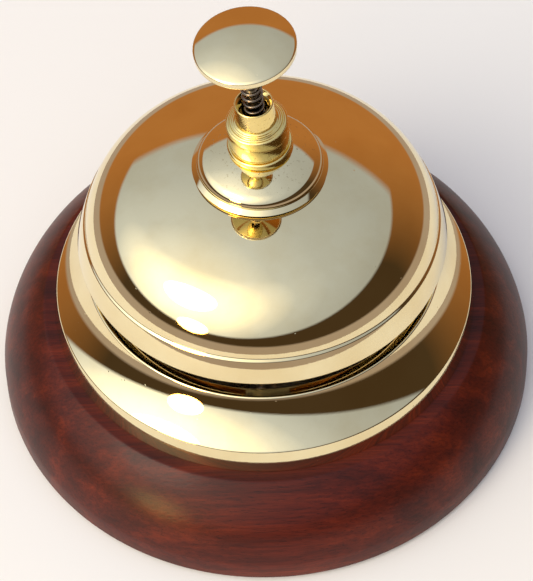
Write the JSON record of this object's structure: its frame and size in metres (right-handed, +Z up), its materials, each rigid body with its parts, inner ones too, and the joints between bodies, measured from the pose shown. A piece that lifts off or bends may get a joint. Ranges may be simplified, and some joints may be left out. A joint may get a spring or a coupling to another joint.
{
  "type": "counter call bell",
  "caption": "Brass push-button call bell: domed bell over a flared skirt on a round turned wood base, struck from inside by a rocking hammer.",
  "frame": {"origin": "centre of the felt's underside, the face the bell rests on", "axes": "+Z up along the bell's axis; +Y towards the side the hammer is on"},
  "size_m": [0.15, 0.15, 0.1259],
  "materials": {
    "lacquered_wood": "gloss lacquer",
    "felt": "felt",
    "polished_brass": "mirror polished",
    "collar_brass": "turned and polished",
    "screw_brass": "satin",
    "steel": "plain",
    "spring_steel": "drawn wire",
    "fibre": "pressed fibre"
  },
  "bodies": {
    "stand": {"wood_base": "lacquered_wood", "base_felt": "felt", "brass_skirt": "polished_brass", "skirt_screws": "screw_brass", "works_plate": "steel", "plate_screws": "steel", "post": "steel", "post_washer": "steel", "post_nut": "steel", "rocker_bracket": "steel", "bracket_screws": "steel", "rocker_pin": "steel", "seat_nut": "steel", "seat_washer": "fibre", "bell_dome": "polished_brass", "dish_spacer": "screw_brass", "cap_dish": "polished_brass", "collar": "collar_brass", "return_spring": "spring_steel"},
    "plunger": {"plunger_rod": "steel", "cross_pin": "steel", "push_button": "polished_brass"},
    "striker": {"rocker_arm": "screw_brass", "hammer": "screw_brass", "hammer_nut": "steel"}
  },
  "joints": [
    {"name": "button_press", "type": "slide", "parent": "stand", "child": "plunger", "axis": [0, 0, -1], "range_m": [0, 0.004], "stiffness_N_per_m": 300, "springref_m": -0.002, "deforming": ["return_spring"]},
    {"name": "striker_rock", "type": "hinge", "parent": "stand", "child": "striker", "pos_m": [0, 0.012, 0.046], "axis": [1, 0, 0], "range_deg": [0, 19.5]}
  ],
  "couplings": [
    {"joint": "striker_rock", "follows": "button_press", "rad_per_m": 83.333}
  ]
}
